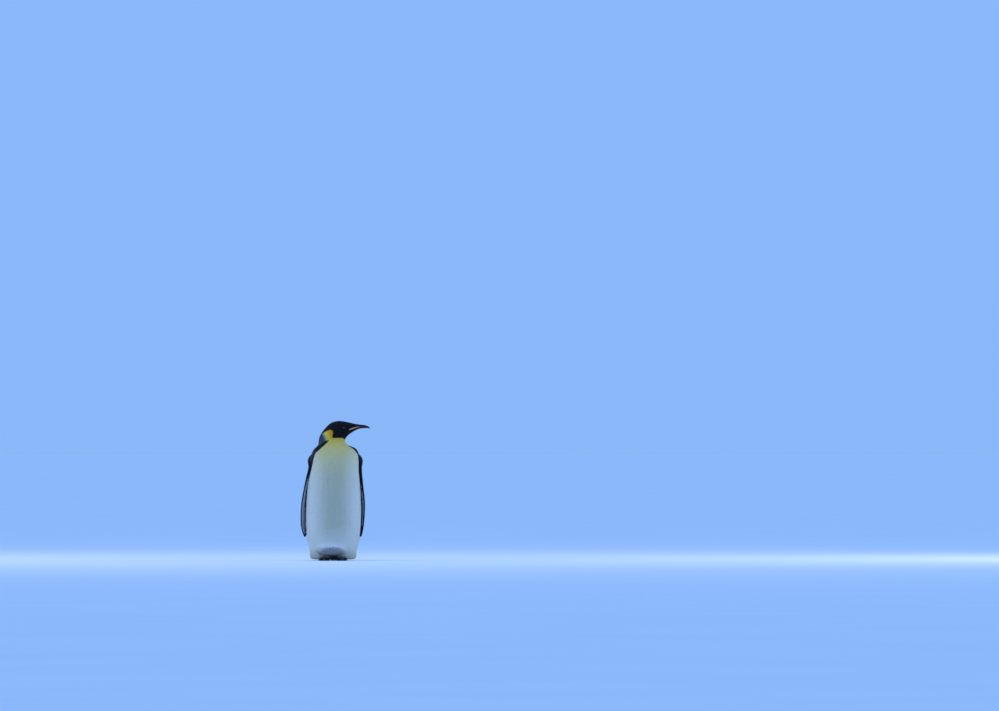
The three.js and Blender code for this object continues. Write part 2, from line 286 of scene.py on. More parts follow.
@dataclass(frozen=True)
class Plumage(Finish):
    """Keratin barbs, grown and preened: a soft dry surface whose colour is the feather's own."""

    bump: float = 0.15
    rise: float = 0.6 * MM
    streak: float = 2.2 * MM
    shortening: float = 0.16

    def draw(self, tree: NodeTree, place: NodeSocket) -> Drawn:
        """Read the feather's colour and break it up with faint streaks along the body."""
        colour = add_node(tree, "Attribute", attribute_name=COLOUR)
        # Streaks as wide as a barb bundle and some six times as long, upright as the coat lies.
        scale = (1 / self.streak, 1 / self.streak, self.shortening / self.streak)
        upright = add_node(tree, "Mapping", {"Vector": place, "Scale": scale})
        noise = {"Vector": upright.outputs[0], "Scale": 1.0, "Detail": 2.0, "Roughness": 0.6}
        streaks = add_node(tree, "TexNoise", noise)
        limits = {"From Min": 0.3, "From Max": 0.7, "To Min": 0.93, "To Max": 1.04}
        shade = add_node(tree, "MapRange", {"Value": streaks.outputs[0], **limits})
        shaded = {0: colour.outputs["Color"], "Scale": shade.outputs[0]}
        tinted = add_node(tree, "VectorMath", shaded, operation="SCALE")
        return tinted, streaks


@dataclass(frozen=True)
class Horn(Finish):
    """Keratin horn that grows in sheets: satin, with faint growth lines along it."""

    bump: float = 0.25
    rise: float = 0.3 * MM
    base: str = "#0b0b0d"
    pale: str = "#1b191b"
    grain: float = 1.6 * MM
    shortening: float = 0.12

    def draw(self, tree: NodeTree, place: NodeSocket) -> Drawn:
        """Draw the growth lines as stretched noise, in the colour and the relief."""
        scale = (self.shortening / self.grain, 1 / self.grain, 1 / self.grain)
        lengthwise = add_node(tree, "Mapping", {"Vector": place, "Scale": scale})
        noise = {"Vector": lengthwise.outputs[0], "Scale": 1.0, "Detail": 3.0, "Roughness": 0.55}
        lines = add_node(tree, "TexNoise", noise)
        colour = add_node(tree, "ValToRGB", {"Fac": lines.outputs[0]})
        set_stops(colour, [(0.35, self.base), (0.75, self.pale)])
        return colour, lines


@dataclass(frozen=True)
class Plate(Finish):
    """The smooth horny plate of the lower bill: peach at its root, darker further out, black at its tip."""

    bump: float = 0.12
    rise: float = 0.3 * MM
    root_x: float = 0.095
    tip_x: float = 0.200
    mottling: float = 0.12
    stops: tuple = (
        (0.05, "#e8b488"), (0.3, "#e8a070"), (0.55, "#c07858"), (0.78, "#5c3c38"), (1.0, "#151215"),
    )

    def draw(self, tree: NodeTree, place: NodeSocket) -> Drawn:
        """Run the colour along the plate, with a faint mottle."""
        parts = add_node(tree, "SeparateXYZ", {0: place})
        limits = {"Value": parts.outputs[0], "From Min": self.root_x, "From Max": self.tip_x}
        along = add_node(tree, "MapRange", limits)
        mottle = add_node(tree, "TexNoise", {"Vector": place, "Scale": 140.0, "Detail": 3.0})
        sums = {0: mottle.outputs[0], 1: self.mottling, 2: along.outputs[0]}
        shifted = add_node(tree, "Math", sums, operation="MULTIPLY_ADD")
        colour = add_node(tree, "ValToRGB", {"Fac": shifted.outputs[0]})
        set_stops(colour, self.stops)
        return colour, mottle


@dataclass(frozen=True)
class ScaledSkin(Finish):
    """Bare foot skin grown in small horny scales, dry and nearly black, with paler creases."""

    bump: float = 0.9
    rise: float = 1.0 * MM
    scale: float = 4.5 * MM
    crease: float = 0.3
    grittiness: float = 0.15

    def draw(self, tree: NodeTree, place: NodeSocket) -> Drawn:
        """Raise rounded scales, and dust the creases between them."""
        grid = {"Vector": place, "Scale": 1 / self.scale}
        cells = add_node(tree, "TexVoronoi", grid, feature="DISTANCE_TO_EDGE")
        grit = add_node(tree, "TexNoise", {"Vector": place, "Scale": 900.0, "Detail": 2.0})
        inward = cells.outputs["Distance"]
        colour = add_node(tree, "ValToRGB", {"Fac": inward})
        set_stops(colour, [(0.0, "#4c4845"), (0.12, "#2c2a2a"), (0.4, "#1c1b1c")])
        domes = add_node(tree, "MapRange", {"Value": inward, "From Max": self.crease})
        sums = {0: grit.outputs[0], 1: self.grittiness, 2: domes.outputs[0]}
        relief = add_node(tree, "Math", sums, operation="MULTIPLY_ADD")
        return colour, relief


@dataclass(frozen=True)
class LidSkin(Finish):
    """Bare lid skin: dark, finely creased, a little damp at its edge."""

    bump: float = 0.5
    rise: float = 0.3 * MM

    def draw(self, tree: NodeTree, place: NodeSocket) -> Drawn:
        """Crease the skin with fine noise."""
        creases = add_node(tree, "TexNoise", {"Vector": place, "Scale": 1100.0, "Detail": 3.0})
        colour = add_node(tree, "ValToRGB", {"Fac": creases.outputs[0]})
        set_stops(colour, [(0.35, "#060607"), (0.7, "#131216")])
        return colour, creases


@dataclass(frozen=True)
class EyeGloss(Finish):
    """A wet eyeball under a clear cornea: a black pupil in a dark brown iris, mirror smooth."""

    middle: tuple[float, float, float] = (0.0, 0.0, 0.0)
    pupil: float = 3.0 * MM
    reach: float = 9.0 * MM
    unevenness: float = 0.08

    def draw(self, tree: NodeTree, place: NodeSocket) -> Drawn:
        """Colour by the distance from the eye's own axis, with fibres in the iris."""
        moved = {"Vector": place, "Location": tuple(-m for m in self.middle)}
        centred = add_node(tree, "Mapping", moved)
        levelled = {0: centred.outputs[0], 1: (1.0, 0.0, 1.0)}
        flat = add_node(tree, "VectorMath", levelled, operation="MULTIPLY")
        out = add_node(tree, "VectorMath", {0: flat.outputs[0]}, operation="LENGTH")
        ray = add_node(tree, "VectorMath", {0: flat.outputs[0]}, operation="NORMALIZE")
        fibres = add_node(tree, "TexNoise", {"Vector": ray.outputs[0], "Scale": 14.0, "Detail": 3.0})
        share = add_node(tree, "MapRange", {"Value": out.outputs["Value"], "From Max": self.reach})
        sums = {0: fibres.outputs[0], 1: self.unevenness, 2: share.outputs[0]}
        shifted = add_node(tree, "Math", sums, operation="MULTIPLY_ADD")
        edge = self.pupil / self.reach
        iris = [(edge + 0.07, "#38231a"), (0.62, "#432b1f"), (0.84, "#20140f"), (0.95, "#080606")]
        colour = add_node(tree, "ValToRGB", {"Fac": shifted.outputs[0]})
        set_stops(colour, [(edge, "#030203"), *iris])
        return colour, None


@dataclass(frozen=True)
class Ground(Finish):
    """A matt painted studio floor, pale and cool."""

    def draw(self, tree: NodeTree, place: NodeSocket) -> Drawn:
        """Give the floor one pale colour with the faintest mottle."""
        mottle = add_node(tree, "TexNoise", {"Vector": place, "Scale": 0.8})
        colour = add_node(tree, "ValToRGB", {"Fac": mottle.outputs[0]})
        set_stops(colour, [(0.3, "#ecedef"), (0.7, "#eff0f2")])
        return colour, None


@dataclass(frozen=True)
class Studio:
    """The floor, the soft lights, the pale surround and the camera."""

    lens: float = 433.0
    distance: float = 81.7
    eye_height: float = 0.915
    aim: tuple[float, float] = (1.116, 1.394)
    floor_half: float = 320.0
    surround: str = "#8cb9fa"
    surround_power: float = 0.98
    overhead: float = 1.26
    lamp_size: float = 4.0
    lamps: tuple = (
        ("key_lamp", (-6.5, 0.6, 5.0), 150.0, "#f6f8ff"),
        ("side_lamp", (6.5, 1.0, 3.6), 110.0, "#f6f8ff"),
        ("front_lamp", (-2.5, -7.0, 5.0), 12.0, "#fff4e6"),
    )

    def build(self) -> None:
        """Set up everything that isn't the bird."""
        bpy.context.scene.view_settings.view_transform = "Standard"
        self.build_floor()
        self.build_lights()
        self.build_camera()

    def build_floor(self) -> None:
        """Lay one large level floor under the bird."""
        bm = bmesh.new()
        bmesh.ops.create_grid(bm, x_segments=1, y_segments=1, size=self.floor_half)
        floor = new_object("studio_floor", bm, [Ground("pale_floor_paint", 0.9, specular=0.1).make()])

    def build_lights(self) -> None:
        """Hang broad soft lamps round the bird, and fill the room with pale light."""
        world = bpy.data.worlds.new("surround")
        world.use_nodes = True
        tree = world.node_tree
        tree.nodes.clear()
        # The surround brightens overhead by just as much as makes the floor meet it without a line.
        way = add_node(tree, "TexCoord")
        parts = add_node(tree, "SeparateXYZ", {0: way.outputs["Generated"]})
        power = {"To Min": self.surround_power, "To Max": self.overhead * self.surround_power}
        strength = add_node(tree, "MapRange", {"Value": parts.outputs[2], **power})
        light = {"Color": linear(self.surround), "Strength": strength.outputs[0]}
        glow = add_node(tree, "Background", light)
        add_node(tree, "OutputWorld", {"Surface": glow.outputs[0]})
        bpy.context.scene.world = world
        for name, place, watts, colour in self.lamps:
            lamp = bpy.data.lights.new(name, "AREA")
            lamp.shape = "DISK"
            lamp.size = self.lamp_size
            lamp.energy = watts
            lamp.color = linear(colour)[:3]
            holder = bpy.data.objects.new(name, lamp)
            holder.location = place
            holder.rotation_euler = (Vector((0, 0, 0.5)) - Vector(place)).to_track_quat("-Z", "Y").to_euler()
            holder.visible_camera = False
            bpy.context.scene.collection.objects.link(holder)

    def build_camera(self) -> None:
        """Stand a long-lens camera far off, level with the bird's head."""
        data = bpy.data.cameras.new("camera")
        data.lens = self.lens
        data.sensor_width = 36.0
        data.clip_start = 1.0
        data.clip_end = 1000.0
        camera = bpy.data.objects.new("camera", data)
        camera.location = (self.aim[0], -self.distance, self.eye_height)
        look = Vector((self.aim[0], 0.0, self.aim[1])) - camera.location
        camera.rotation_euler = look.to_track_quat("-Z", "Y").to_euler()
        bpy.context.scene.collection.objects.link(camera)
        bpy.context.scene.camera = camera


def new_object(name: str, bm: BMesh, materials: Iterable[Material]) -> Object:
    """Turn a bmesh into an object at the origin and free the bmesh.

    Args:
        name: the object's and the mesh's name.
        bm: the shape, in the row frame.
        materials: its finishes, in slot order.

    Returns:
        The new object.
    """
    mesh = bpy.data.meshes.new(name)
    bm.to_mesh(mesh)
    bm.free()
    return placed(name, mesh, materials)


def placed(name: str, mesh: Mesh, materials: Iterable[Material]) -> Object:
    """Link a mesh into the scene as an object with its finishes."""
    for material in materials:
        mesh.materials.append(material)
    piece = bpy.data.objects.new(name, mesh)
    bpy.context.scene.collection.objects.link(piece)
    return piece


def node_shape(nodes: Iterable[str]) -> BMesh:
    """Copy CAD nodes into one bmesh and merge their loose triangles.

    Args:
        nodes: the names of the nodes.

    Returns:
        The closed shapes, side by side in one bmesh.
    """
    bm = bmesh.new()
    for node in nodes:
        bm.from_mesh(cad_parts[node].data)
    bmesh.ops.remove_doubles(bm, verts=bm.verts, dist=MERGE)
    return bm


def remeshed(bm: BMesh, name: str, voxel: float, smoothing: int) -> Mesh:
    """Skin closed shapes over with one even mesh and smooth it.

    Args:
        bm: the closed shapes; it is freed.
        name: the new mesh's name.
        voxel: the size of the mesh's faces.
        smoothing: how many passes of smoothing it gets.

    Returns:
        The finished mesh.
    """
    source = new_object(name, bm, [])
    skinning = source.modifiers.new("skinning", "REMESH")
    skinning.mode = "VOXEL"
    skinning.voxel_size = voxel
    skinning.use_smooth_shade = True
    polish = source.modifiers.new("polish", "SMOOTH")
    polish.factor = 0.5
    polish.iterations = smoothing
    graph = bpy.context.evaluated_depsgraph_get()
    mesh = bpy.data.meshes.new_from_object(source.evaluated_get(graph))
    mesh.name = name
    spare = source.data
    bpy.data.objects.remove(source)
    bpy.data.meshes.remove(spare)
    return mesh


def add_colours(mesh: Mesh, colours: Array) -> None:
    """Store a colour for each of a mesh's points.

    Args:
        mesh: the mesh.
        colours: linear red, green and blue, one row for each point.
    """
    layer = mesh.attributes.new(COLOUR, "FLOAT_COLOR", "POINT")
    opaque = np.column_stack([colours, np.ones(len(colours))])
    layer.data.foreach_set("color", opaque.astype(np.float32).ravel())


class Surface:
    """A mesh as arrays, with quick answers about what is nearest on it."""

    def __init__(self, mesh: Mesh) -> None:
        """Read a mesh.

        Args:
            mesh: the mesh, which isn't changed.
        """
        self.points = read(mesh.vertices, "co", 3)
        self.normals = read(mesh.vertex_normals, "vector", 3)
        mesh.calc_loop_triangles()
        self.triangles = read(mesh.loop_triangles, "vertices", 3, np.int32)
        self.loops = read(mesh.loop_triangles, "loops", 3, np.int32)
        self.edges = read(mesh.edges, "vertices", 2, np.int32)
        self.triangle_normals = unit(self.normals[self.triangles].sum(axis=1))
        self.tree = BVHTree.FromPolygons(self.points.tolist(), self.triangles.tolist())

    def nearest(self, points: Array) -> tuple[Array, Array]:
        """Find the closest places on the surface.

        Args:
            points: one point per row.

        Returns:
            The places and the smooth normals there.
        """
        hits = [self.tree.find_nearest(point) for point in points.tolist()]
        return np.array([hit[0][:] for hit in hits]), self.triangle_normals[[hit[2] for hit in hits]]

    def spread(self, values: Array, passes: int) -> Array:
        """Even out values over the mesh by averaging along its edges.

        Args:
            values: one row for each point of the mesh.
            passes: how often neighbours are averaged.

        Returns:
            The smoother values.
        """
        first, second = self.edges.T
        ends = np.concatenate([first, second])
        others = np.concatenate([second, first])
        share = np.bincount(ends, minlength=len(values)).clip(1)[:, None]
        for _ in range(passes):
            around = [np.bincount(ends, column[others], minlength=len(values)) for column in values.T]
            values = 0.5 * values + 0.5 * np.column_stack(around) / share
        return values


class Feather(Enum):
    """The kinds of feather: length, width, spacing, and the tip's height off the skin, in millimetres."""

    FACE = (6.0, 3.4, 1.9, 1.2)
    HOOD = (10.0, 4.2, 2.2, 1.5)
    NECK = (15.0, 5.4, 2.4, 1.8)
    FRONT = (24.0, 6.8, 2.75, 2.0)
    BACK = (24.0, 7.0, 2.8, 2.1)
    FOLD = (26.0, 5.6, 2.9, 3.2)
    LEG = (24.0, 6.2, 3.0, 2.6)
    FLIPPER = (8.5, 4.8, 2.7, 1.4)
    TAIL = (60.0, 8.0, 4.0, 3.2)


@dataclass(frozen=True)
class Markings:
    """The bird's colours as a formula of place, in millimetres from its own upright axis."""

    axis: Vector

    # The black hood's edge, seen from the front.
    hood_edge: tuple = (
        (-400, 858), (-98, 856), (-84, 858), (-66, 869), (-49, 879), (-32, 887), (-21, 888), (-12, 883),
        (-7, 873), (-8, 862), (-12, 850), (-12, 837), (-9, 832), (-3, 831), (10, 831), (40, 833),
        (54, 832), (63, 829), (72, 821), (100, 812), (400, 812), (400, 1100), (-400, 1100),
    )
    # The pale front's edge, as angles from straight ahead and heights: up over the near shoulder's spur,
    # down the near flank, up the far one, and round behind the neck.
    collar: tuple = (
        (-96, 781), (-80, 782), (-69, 783.5), (-64, 786), (-57.5, 792), (-51.7, 797.6), (-42.8, 803),
        (-35.5, 809), (-27.3, 813.5), (-13, 820),
    )
    near_edge: tuple = (
        (-14, 817), (-27.7, 798), (-37, 786), (-43, 777), (-48.4, 768), (-50.7, 757), (-54, 747),
        (-56.5, 740), (-60, 733.7), (-61.2, 722), (-62.4, 705), (-63.7, 690), (-65, 660), (-68.2, 617),
        (-73, 578), (-77, 538), (-79, 476), (-81, 340), (-84, 150), (-92, 60), (-96, -40),
    )
    far_edge: tuple = (
        (96, -40), (92, 60), (84, 170), (78, 340), (75, 476), (72.5, 538), (70.5, 578), (70, 607),
        (72, 641), (74.3, 672), (75.5, 690), (75.6, 710), (73.5, 722), (71.3, 733.7), (68.1, 745),
        (66, 754), (63.5, 762), (62.7, 768.5), (64, 774), (67, 777.5), (76, 779), (90, 779), (112, 780),
        (125, 790), (145, 799), (165, 804), (200, 804), (222, 799), (245, 789), (264, 781),
    )

    # Heights, each with the body's middle across, its girth's radius or the black band's width.
    middles: tuple = ((400, -1), (560, 4), (650, 7.5), (770, 6), (817, -15))
    girths: tuple = ((740, 165), (790, 88))
    band_widths: tuple = ((60, 14), (300, 20), (600, 24), (760, 25), (790, 16), (817, 9))
    # Places across, each with the height of the near shoulder's spur.
    spur: tuple = ((-104, 765), (-81, 784), (-60, 799), (-36, 814), (-14, 829))
    # Heights, each with the place fore and aft of a flipper's leading or trailing edge.
    lead: tuple = ((163, 10), (230, -18), (310, -38), (400, -54), (490, -62), (680, -50))
    trail: tuple = ((163, 58), (182, 66), (230, 68), (310, 66), (400, 62), (490, 58), (570, 52), (680, 52))

    black: str = "#08080b"
    band: str = "#08090d"
    slate: str = "#3a424e"
    white: str = "#e9ebe0"
    throat: str = "#f2d04a"
    breast: str = "#f0df90"
    middle_cream_and_shade: str = "#e0e0d2"
    # Painted shade for the underside of the fold, and a painted highlight for its top.
    fold_painted_shade: str = "#848d94"
    fold_painted_highlight: str = "#f6f6f4"
    soil: str = "#f0e4b4"
    flipper_slate: str = "#333b46"
    flipper_under: str = "#f2f4f2"
    flipper_edge: str = "#08090c"
    # The ear patch from its front edge back to the nape, above and below.
    ear_stops: tuple = (0.0, 0.13, 0.28, 0.45, 0.66, 0.82, 0.97, 1.12)
    ear_above: tuple = (
        "#ffb478", "#ff9a10", "#ffae10", "#ffcc18", "#fbe258", "#d0d29a", "#646e78", "#42484e",
    )
    ear_below: tuple = (
        "#f8cc34", "#fac818", "#fbcc18", "#f8d42c", "#dcd268", "#a6ae90", "#646e78", "#42484e",
    )

    def local(self, points: Array) -> Array:
        """Turn metres of the row frame into millimetres from the bird's axis."""
        return (points - np.array(self.axis)) / MM

    def bearing(self, places: Array) -> Array:
        """Return each place's angle round the body from straight ahead, in degrees."""
        x, y, z = places.T
        return np.degrees(np.arctan2(x - along_table(z, self.middles), -y))

    def front(self, places: Array) -> Array:
        """Measure how far inside the pale front and the neck each point lies, on the unrolled body.

        Args:
            places: millimetres from the axis, one row for each point.

        Returns:
            Millimetres along the skin, positive inside.
        """
        corners = np.array((*self.collar, *self.near_edge, *self.far_edge, (264, 1100), (-96, 1100)), float)
        corners[:, 0] = np.radians(corners[:, 0]) * along_table(corners[:, 1], self.girths)
        bearing, z = self.bearing(places), places[:, 2]
        girth = along_table(z, self.girths)
        turns = [np.radians(bearing + turn) * girth for turn in (0.0, 360.0)]
        return np.maximum(*(within(np.column_stack([turned, z]), corners) for turned in turns))

    def colours(self, points: Array, normals: Array, names: Array) -> Array:
        """Colour points of the skin or of the coat.

        Args:
            points: metres of the row frame, one row for each point.
            normals: the way the surface faces there.
            names: the CAD node that each point belongs to.

        Returns:
            Linear red, green and blue, one row for each point.
        """
        places = self.local(points)
        x, y, z = places.T
        depth = self.front(places)
        above_spur = ramp(z - along_table(x, self.spur), -3, 3)
        colours = mixed(self.pale_front(x, z), self.neck_side(x, z), above_spur * ramp(-x, -4, 20))
        behind = tint(self.slate)
        # A black cord of feathers parts the pale front from the slate mantle; it dies out at the nape.
        width = along_table(z, self.band_widths) * (1 - 0.55 * ramp(y, 0, 50) * ramp(z, 700, 760))
        bearing = self.bearing(places)
        from_nape = np.where(bearing > -96, bearing + 96, (-96 - bearing) * 0.35)
        band = mixed(behind, tint(self.band), ramp(from_nape, 8, 26))
        colours = mixed(colours, band, ramp(-depth, -0.8, 0.8))
        colours = mixed(colours, behind, ramp(-depth, width - 3, width + 5))
        colours = self.under_belly(colours, places, names == "brood_fold")
        hood = within(np.column_stack([x, z]), rounded(self.hood_edge))
        nape = ramp(-x, 78, 94) * ramp(z, 800, 862)
        colours = mixed(colours, tint(self.black), np.maximum(ramp(hood, -0.8, 0.8), nape))
        wings = np.char.startswith(names, "flipper")
        colours = np.where(wings[:, None], self.flipper(places, normals), colours)
        # The tail and the backs of the legs: dark slate, with painted shade darkening it further where they
        # face down.
        tail = mixed(behind * 0.55, behind * 0.9, ramp(normals[:, 2], -0.2, 0.6))
        low = (names == "tail") | np.char.startswith(names, "leg")
        return np.where((low & (y > 90))[:, None], tail, colours)

    def under_belly(self, colours: Array, places: Array, fold: Array) -> Array:
        """Paint shade under the roll of the belly and a highlight along its top, and soil the legs a little.

        Args:
            colours: the clean plumage's colours.
            places: millimetres from the axis.
            fold: whether each point is on the fold.

        Returns:
            The colours with the painted shade and highlight on the fold, and the soiled legs.
        """
        x, _, z = places.T
        # Painted shade: grey over the middle of the fold and along its bottom, where it faces down.
        around = np.hypot((x + 12) / 98, (z - 62) / 34)
        shaded = fold * (1 - ramp(around, 0.5, 1.06) + (z < 46))
        colours = mixed(colours, tint(self.fold_painted_shade), 0.8 * shaded.clip(0, 1))
        # Painted highlight: a pale band along the top of the fold, where light catches it.
        rim = fold * ramp(z, 84, 98) * (1 - ramp(z, 112, 124))
        colours = mixed(colours, tint(self.fold_painted_highlight), 0.7 * rim)
        soiled = (1 - ramp(z, 20, 120)) * ramp(np.abs(x + 8), 84, 130) * ~fold
        return mixed(colours, colours * tint(self.soil), 0.55 * soiled)

    def pale_front(self, x: Array, z: Array) -> Array:
        """Fade the throat's yellow down into the belly's white, with a cream tint down the middle that also
        darkens it as painted shade.
        """
        fall = np.clip(838 - z, 0, None)
        yellow = np.exp(-((fall / 170.0) ** 1.4)) * (1.0 - 0.3 * ramp(np.abs(x + 8), 60, 160))
        # Down the middle the white is tinted cream and darkened: partly the breast's own cream, partly
        # painted shade.
        cream_and_shade = (1 - ramp(np.abs(x - 5), 30, 165)) * ramp(z, 90, 260)
        colours = mixed(tint(self.white), tint(self.white) * tint(self.middle_cream_and_shade), cream_and_shade)
        colours = mixed(colours, tint(self.breast), np.clip(yellow / 0.7, 0, 1))
        return mixed(colours, tint(self.throat), np.clip((yellow - 0.7) / 0.3, 0, 1))

    def neck_side(self, x: Array, z: Array) -> Array:
        """Colour the ear patch: a pink rim, orange, yellow, pale green, and slate towards the nape."""
        slate_at = -67 - 0.45 * (z - 829)
        share = np.clip((-6 - x) / (-6 - slate_at), 0, 1.25)
        tones = []
        for colours in (self.ear_below, self.ear_above):
            shades = np.array([tint(colour) for colour in colours])
            tones.append(np.column_stack([np.interp(share, self.ear_stops, shade) for shade in shades.T]))
        return mixed(*tones, ramp(z, 836, 864))

    def flipper(self, places: Array, normals: Array) -> Array:
        """Colour a flipper: slate outside, grey white inside, black along the leading edge and at its tip,
        and black along the trailing edge inside as painted shade of the gap against the body.
        """
        x, y, z = places.T
        outward = normals[:, 0] * np.sign(x)
        pale = (1 - ramp(outward, -0.6, -0.35)) * (1 - ramp(z, 530, 610))
        front = 1 - ramp(y - along_table(z, self.lead) - np.where(x > 0, 5, 0), 9, 15)
        # Painted shade: black along the trailing edge on the inner face, wider lower down, for the gap
        # against the body.
        margin = along_table(z, ((360, 34), (480, 18)))
        back = ramp(y - along_table(z, self.trail) + margin, 0, 8) * (1 - ramp(outward, 0.1, 0.5))
        edge = np.maximum(front * (1 - 0.6 * ramp(outward, 0.3, 0.7)), back) * (1 - ramp(z, 640, 710))
        tip = 1 - ramp(z, 168, 190)
        blade = mixed(tint(self.flipper_slate), tint(self.flipper_under), pale)
        return mixed(blade, tint(self.flipper_edge), np.maximum(edge, tip))


@dataclass
class Skin:
    """The one skin under the coat, with the bare feet."""

    markings: Markings
    voxel: float = 4.5 * MM
    smoothing: int = 6
    foot_voxel: float = 2.2 * MM
    foot_smoothing: int = 3
    body_nodes: tuple = (
        "trunk", "neck", "head", "flipper_right", "flipper_left", "brood_fold", "tail", "leg_right",
        "leg_left",
    )
    foot_nodes: tuple = ("foot_right", "foot_left")
    # The skin is painted darker than the coat: the greyer down, with painted shade where it shows between the
    # vanes.
    skin_down_and_shade_tone: float = 0.9
    foot_tone: float = 0.02
    # How often the sizes of neighbouring feathers are evened out.
    blending: int = 14
    # Where the neck's shorter feathers begin on the trunk, and the face's on the head.
    neck_from: float = 735
    face_from: float = 30

    def build(self, plumage: Material) -> Object:
        """Skin the nodes of flesh over, sink the skin by the coat's depth and colour it.

        Args:
            plumage: the finish it shares with the coat.

        Returns:
            The skin.
        """
        shape = remeshed(node_shape(self.body_nodes), "skin_body", self.voxel, self.smoothing)
        outer = Surface(shape)
        self.names = self.nearest_nodes(outer.points)
        self.sizes = outer.spread(self.feather_sizes(outer), self.blending)
        sunk = outer.points - outer.normals * self.sizes[:, 3:4]
        shape.vertices.foreach_set("co", sunk.astype(np.float32).ravel())
        shape.update()
        self.body_points = len(sunk)
        bm = bmesh.new()
        bm.from_mesh(shape)
        before = len(bm.faces)
        feet = remeshed(node_shape(self.foot_nodes), "skin_feet", self.foot_voxel, self.foot_smoothing)
        bm.from_mesh(feet)
        bm.faces.ensure_lookup_table()
        for face in bm.faces[before:]:
            face.material_index = 1
        for spare in (shape, feet):
            bpy.data.meshes.remove(spare)
        piece = new_object("skin", bm, [plumage, ScaledSkin("foot_skin_scales", 0.55).make()])
        self.unwrap(piece)
        self.surface = Surface(piece.data)
        body = slice(0, self.body_points)
        points, normals = self.surface.points, self.surface.normals
        colours = np.full_like(points, self.foot_tone)
        # Painted shade and greyer down: the skin is darker than the coat's colours.
        colours[body] = self.skin_down_and_shade_tone * self.markings.colours(points[body], normals[body], self.names)
        add_colours(piece.data, colours)
        return registered(piece, "white_plumage", *self.body_nodes, *self.foot_nodes)

    def nearest_nodes(self, points: Array) -> Array:
        """Name the CAD node that is nearest to each point.

        Args:
            points: one point per row.

        Returns:
            One name for each point.
        """
        corners: list = []
        faces: list = []
        owners: list[str] = []
        for node in self.body_nodes:
            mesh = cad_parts[node].data
            start = len(corners)
            corners += [vertex.co[:] for vertex in mesh.vertices]
            faces += [[start + index for index in polygon.vertices] for polygon in mesh.polygons]
            owners += [node] * len(mesh.polygons)
        tree = BVHTree.FromPolygons(corners, faces)
        return np.array([owners[tree.find_nearest(point)[2]] for point in points.tolist()])

    def feather_sizes(self, surface: Surface) -> Array:
        """Choose the kind of feather that grows at each point of the body skin.

        Args:
            surface: the skin before it is sunk.

        Returns:
            The feather's four sizes, one row for each point.
        """
        x, y, z = self.markings.local(surface.points).T
        names = self.names
        sizes = np.zeros((len(names), 4))
        for kind, members in (
            (Feather.FRONT, y <= BACK_AT),
            (Feather.BACK, y > BACK_AT),
            (Feather.NECK, (names == "trunk") & (z > self.neck_from) | (names == "neck")),
            (Feather.HOOD, names == "head"),
            (Feather.FACE, (names == "head") & (x > self.face_from)),
            (Feather.FOLD, names == "brood_fold"),
            (Feather.LEG, np.char.startswith(names, "leg")),
            (Feather.FLIPPER, np.char.startswith(names, "flipper")),
            (Feather.TAIL, names == "tail"),
        ):
            sizes[members] = np.array(kind.value) * MM
        return sizes

    @staticmethod
    def unwrap(piece: Object) -> None:
        """Unwrap the skin's own shape into its bake map."""
        bpy.context.view_layer.objects.active = piece
        piece.select_set(True)
        piece.data.uv_layers.new(name=BAKE_MAP)
        bpy.ops.object.mode_set(mode="EDIT")
        bpy.ops.mesh.select_all(action="SELECT")
        bpy.ops.uv.smart_project(angle_limit=math.radians(75), island_margin=0.002)
        bpy.ops.object.mode_set(mode="OBJECT")
        piece.select_set(False)


